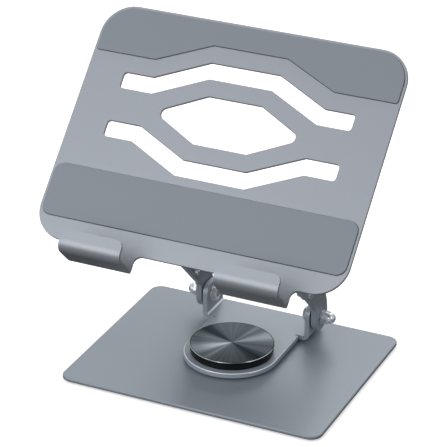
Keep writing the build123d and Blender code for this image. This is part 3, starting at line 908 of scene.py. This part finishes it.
# ------------------------------------------------------------------ operators
class STAND_OT_metalwork(bpy.types.Operator):
    """Finish the coated steel, the panel and the small CAD parts"""

    bl_idname = "stand.metalwork"
    bl_label = "Finish Metalwork"

    def execute(self, context):
        settings = context.scene.laptop_stand.finish
        coat(COATED_NODES, coated_steel("coated_steel", settings.steel))
        # the bracket's coat is a copy of the steel coat painted lighter for the light it catches, with a painted
        # highlight on its upper edge
        coat(["turntable_bracket"], coated_steel("coated_bracket", settings.bracket, painted_edge_highlight=0.8))
        coat(["panel"], blasted_aluminium(settings))
        coat(ZINC_NODES, finish_once(bright_zinc, settings))
        friction = [f"{hinge}_friction_washer_{side}" for hinge in HINGES for side in SIDES]
        coat(BLACK_NODES + friction, black_moulding(settings))
        return {"FINISHED"}


class STAND_OT_pads(bpy.types.Operator):
    """Finish the anti-slip pads and run a dark line of painted shade round each"""

    bl_idname = "stand.pads"
    bl_label = "Finish Pads"

    def execute(self, context):
        settings = context.scene.laptop_stand
        coat(PAD_NODES, silicone(settings.finish))
        rest = next(mount for mount in frame["record"]["mounts"] if mount["name"] == "laptop_rest")
        normal = Vector(rest["axis"])
        tree = outline_bead_tree()
        pad_edge_finish = adhesive(settings.finish)
        for name in PAD_NODES:
            pad = frame["nodes"][name]
            heights = [normal.dot(vertex.co) for vertex in pad.data.vertices]
            values = {
                "Pad": pad,
                "Face Point": normal * min(heights),
                "Face Normal": normal,
                "Bead Radius": settings.pad.bead_radius,
                "Step": settings.pad.step,
                "Finish": pad_edge_finish,
            }
            # a dark bead of painted shade round the pad's edge
            bead = grown(name + "_adhesive", tree, values)
            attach(bead, "panel")
        return {"FINISHED"}


class STAND_OT_disc(bpy.types.Operator):
    """Turn the cap's grooved disc with its bright bevel"""

    bl_idname = "stand.disc"
    bl_label = "Turn Cap Disc"

    def execute(self, context):
        settings = context.scene.laptop_stand
        low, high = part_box("cap_disc")
        radius = (high.x - low.x) / 2
        bevel = settings.disc.bevel
        flat_end = radius - bevel
        steps_per_groove = 6
        steps = int(flat_end / settings.disc.groove_pitch) * steps_per_groove
        profile = [(0.0, low.z), (radius, low.z), (radius, high.z - bevel)]
        for step in range(steps, -1, -1):
            dip = settings.disc.groove_depth * (1 - cos(2 * pi * step / steps_per_groove)) / 2
            profile.append((flat_end * step / steps, high.z - dip))
        segments = settings.hardware.segments * 2
        disc = turned("spun_disc", profile, spun_metal(settings.disc), segments)
        disc.data.materials.append(cut_bevel(settings.finish))
        for face in disc.data.polygons:
            below_grooves = face.center.z < high.z - bevel * 0.3
            looks_up = face.normal.z > 0.3
            if below_grooves and looks_up:
                face.material_index = 1
        middle = joint_place("base_swivel")
        disc.data.transform(Matrix.Translation((middle.x, middle.y, 0.0)))
        stands_for(disc, "turntable", ["cap_disc"])
        return {"FINISHED"}


class STAND_OT_feet(bpy.types.Operator):
    """Mould the four rubber feet with their treads"""

    bl_idname = "stand.feet"
    bl_label = "Mould Feet"

    def execute(self, context):
        settings = context.scene.laptop_stand
        low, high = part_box(FOOT_NODES[0])
        radius = (high.x - low.x) / 2
        height = high.z - low.z
        edge = settings.foot.edge
        tread_end = radius - edge
        steps_per_ring = 12
        steps = steps_per_ring * settings.foot.rings
        profile = []
        for step in range(steps):
            lift = settings.foot.tread * (1 - cos(2 * pi * step / steps_per_ring)) / 2
            profile.append((tread_end * step / steps, lift))
        profile += arc((tread_end, edge), edge, -pi / 2, 0.0, steps=6)
        profile += [(radius, height), (0.0, height)]
        material = worn_rubber(settings.finish)
        template = turned("foot_template", profile, material, settings.foot.segments)
        places = []
        for name in FOOT_NODES:
            corner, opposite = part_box(name)
            middle = (corner + opposite) / 2
            places.append((Vector((middle.x, middle.y, corner.z)), (0.0, 0.0, 1.0), 0.0))
        feet = placed("feet", template, material, places)
        stands_for(feet, "base", FOOT_NODES)
        return {"FINISHED"}


class STAND_OT_bolts(bpy.types.Operator):
    """Turn the hinge bolts and cut the flats on their heads"""

    bl_idname = "stand.bolts"
    bl_label = "Turn Hinge Bolts"

    def execute(self, context):
        settings = context.scene.laptop_stand
        sizes = settings.hardware
        material = finish_once(bright_zinc, settings.finish)
        low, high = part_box("lower_bolt_right")
        bolt_end = high.x - low.x
        head = sizes.head_height
        rim = sizes.across_flats / 2 * HEX_CORNER
        dish = rim * 0.62
        dish_depth = 0.0003
        under_bevel = 0.0002
        profile = [(0.0, dish_depth), (dish * 0.9, dish_depth), (dish, 0.0)]
        profile += eased_corner(rim, sizes.corner_bevel)
        profile += [(rim, head - under_bevel), (rim - 2 * under_bevel, head)]
        profile += [(sizes.bolt_radius, head), (sizes.bolt_radius, bolt_end), (0.0, bolt_end)]

        def bolt():
            return hexagonal("bolt_template", profile, material, sizes, head + PAST_FACE)

        hinge_set("bolt", bolt, material)
        return {"FINISHED"}


class STAND_OT_washers(bpy.types.Operator):
    """Make the flat washers inside the ears and the toothed ones under the cap nuts"""

    bl_idname = "stand.washers"
    bl_label = "Make Washers"

    def execute(self, context):
        settings = context.scene.laptop_stand
        sizes = settings.hardware
        material = finish_once(bright_zinc, settings.finish)
        low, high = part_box("lower_inner_washer_right")
        flat_height = high.x - low.x
        flat_radius = (high.z - low.z) / 2
        soft = flat_height * 0.3
        profile = [(sizes.bolt_radius, 0.0)]
        profile += arc((flat_radius - soft, soft), soft, -pi / 2, 0.0, steps=4)
        profile += arc((flat_radius - soft, flat_height - soft), soft, 0.0, pi / 2, steps=4)
        profile += [(sizes.bolt_radius, flat_height), profile[0]]

        def flat_washer():
            return turned("washer_template", profile, material, sizes.segments)

        low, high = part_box("lower_outer_washer_right")
        toothed_radius = (high.z - low.z) / 2
        values = {
            "Hole Radius": sizes.bolt_radius + HOLE_PLAY,
            "Ring Radius": toothed_radius * 0.9,
            "Outer Radius": toothed_radius,
            "Height": high.x - low.x,
            "Teeth": sizes.teeth,
            "Twist": sizes.twist,
            "Finish": material,
        }

        def lock_washer():
            template = grown("lock_washer_template", toothed_washer_tree(), values)
            for vertex in template.data.vertices:
                vertex.co.z += values["Height"] / 2
            return template

        hinge_set("inner_washer", flat_washer, material)
        hinge_set("outer_washer", lock_washer, material)
        return {"FINISHED"}


class STAND_OT_cap_nuts(bpy.types.Operator):
    """Turn the domed cap nuts and cut their flats"""

    bl_idname = "stand.cap_nuts"
    bl_label = "Turn Cap Nuts"

    def execute(self, context):
        settings = context.scene.laptop_stand
        sizes = settings.hardware
        material = finish_once(bright_zinc, settings.finish)
        low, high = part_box("lower_cap_nut_right")
        neck_end = high.x - low.x - sizes.dome_radius
        nut_top = sizes.nut_height
        rim = sizes.across_flats / 2 * HEX_CORNER
        corner = eased_corner(rim, sizes.corner_bevel)
        profile = [(0.0, neck_end), (sizes.bolt_radius, neck_end), (sizes.bolt_radius, 0.0)]
        profile += corner
        profile += [(radius, nut_top - height) for radius, height in reversed(corner)]
        neck_groove = 0.0003
        profile += [(sizes.dome_radius - neck_groove, nut_top + 2 * PAST_FACE)]
        profile += arc((0.0, neck_end), sizes.dome_radius, 0.0, pi / 2, steps=16)

        def cap_nut():
            return hexagonal("cap_nut_template", profile, material, sizes, nut_top + PAST_FACE)

        hinge_set("cap_nut", cap_nut, material)
        return {"FINISHED"}


class STAND_OT_stage(bpy.types.Operator):
    """Lay the floor, hang the soft lights and set up the camera"""

    bl_idname = "stand.stage"
    bl_label = "Set Stage"

    def execute(self, context):
        scene = context.scene
        settings = scene.laptop_stand.stage
        scene.view_settings.view_transform = "Standard"
        lay_floor(settings)
        hang_sky(scene, settings)
        for light in LIGHTS:
            soft_light(*light)
        set_camera(scene, settings)
        return {"FINISHED"}


def lay_floor(settings):
    half = settings.floor_size / 2
    mesh = bpy.data.meshes.new("floor")
    corners = [(-half, -half, 0.0), (half, -half, 0.0), (half, half, 0.0), (-half, half, 0.0)]
    mesh.from_pydata(corners, [], [(0, 1, 2, 3)])
    floor = linked("floor", mesh)
    white = (1.0, 1.0, 1.0)
    finish = Finish(
        "pale_floor",
        specular_ior_level=0.1,
        roughness=0.9,
        emission_color=shade(white, 1.0),
        emission_strength=settings.floor_glow,
    )
    colour = finish.blended(finish.noise(scale=2.0), shade(white, 0.93), shade(white, 0.95))
    mesh.materials.append(finish.show(base_color=colour))
    # The floor shows its colour and its shadow, and throws none of its light back up.
    floor.visible_diffuse = False
    floor.visible_glossy = False


def hang_sky(scene, settings):
    """A dome that is bright above and falls off below the horizon."""
    fall_off = 0.25
    world = bpy.data.worlds.new("studio")
    world.use_nodes = True
    world.node_tree.nodes.clear()
    nodes = Nodes(world.node_tree)
    place = nodes.add("ShaderNodeTexCoord").outputs["Generated"]
    _, _, height = nodes.split(place)
    level = height.stretched(-fall_off, fall_off, settings.ground, settings.sky)
    background = nodes.add("ShaderNodeBackground", inputs={"Strength": level})
    nodes.add("ShaderNodeOutputWorld", inputs={"Surface": background.outputs["Background"]})
    scene.world = world


def soft_light(name, place, size, power):
    lamp = bpy.data.lights.new(name, "AREA")
    lamp.size = size
    lamp.energy = power
    light = bpy.data.objects.new(name, lamp)
    light.location = place
    light.rotation_mode = "QUATERNION"
    light.rotation_quaternion = (LIGHTS_AIM - Vector(place)).to_track_quat("-Z", "Y")
    bpy.context.scene.collection.objects.link(light)


def set_camera(scene, settings):
    back = Vector(
        (
            sin(settings.azimuth) * cos(settings.elevation),
            -cos(settings.azimuth) * cos(settings.elevation),
            sin(settings.elevation),
        )
    )
    target = Vector((-settings.aim_left, joint_place("base_swivel").y, settings.aim_height))
    lens = bpy.data.cameras.new("camera")
    lens.lens = settings.lens
    camera = bpy.data.objects.new("camera", lens)
    camera.location = target + back * settings.distance
    camera.rotation_mode = "QUATERNION"
    level = (-back).to_track_quat("-Z", "Y")
    camera.rotation_quaternion = level @ Quaternion((0.0, 0.0, 1.0), settings.roll)
    scene.collection.objects.link(camera)
    scene.camera = camera


class STAND_PT_panel(bpy.types.Panel):
    """Lists the stand's pieces and their settings"""

    bl_idname = "STAND_PT_panel"
    bl_label = "Laptop Stand"
    bl_space_type = "VIEW_3D"
    bl_region_type = "UI"
    bl_category = "Laptop Stand"

    def draw(self, context):
        for operator in OPERATORS:
            self.layout.operator(operator.bl_idname)
        for group in StandSettings.__annotations__:
            settings = getattr(context.scene.laptop_stand, group)
            box = self.layout.box()
            box.label(text=group.title())
            for name in settings.__annotations__:
                box.prop(settings, name)


OPERATORS = [
    STAND_OT_metalwork,
    STAND_OT_pads,
    STAND_OT_disc,
    STAND_OT_feet,
    STAND_OT_bolts,
    STAND_OT_washers,
    STAND_OT_cap_nuts,
    STAND_OT_stage,
]
SETTINGS = [
    FinishSettings,
    DiscSettings,
    HardwareSettings,
    FootSettings,
    PadSettings,
    StageSettings,
    StandSettings,
]


def register():
    for cls in SETTINGS + OPERATORS + [STAND_PT_panel]:
        bpy.utils.register_class(cls)
    bpy.types.Scene.laptop_stand = PointerProperty(type=StandSettings)


def unregister():
    del bpy.types.Scene.laptop_stand
    for cls in reversed(SETTINGS + OPERATORS + [STAND_PT_panel]):
        bpy.utils.unregister_class(cls)


def main():
    register()
    for operator in OPERATORS:
        group, name = operator.bl_idname.split(".")
        getattr(getattr(bpy.ops, group), name)()


if __name__ == "__main__":
    main()
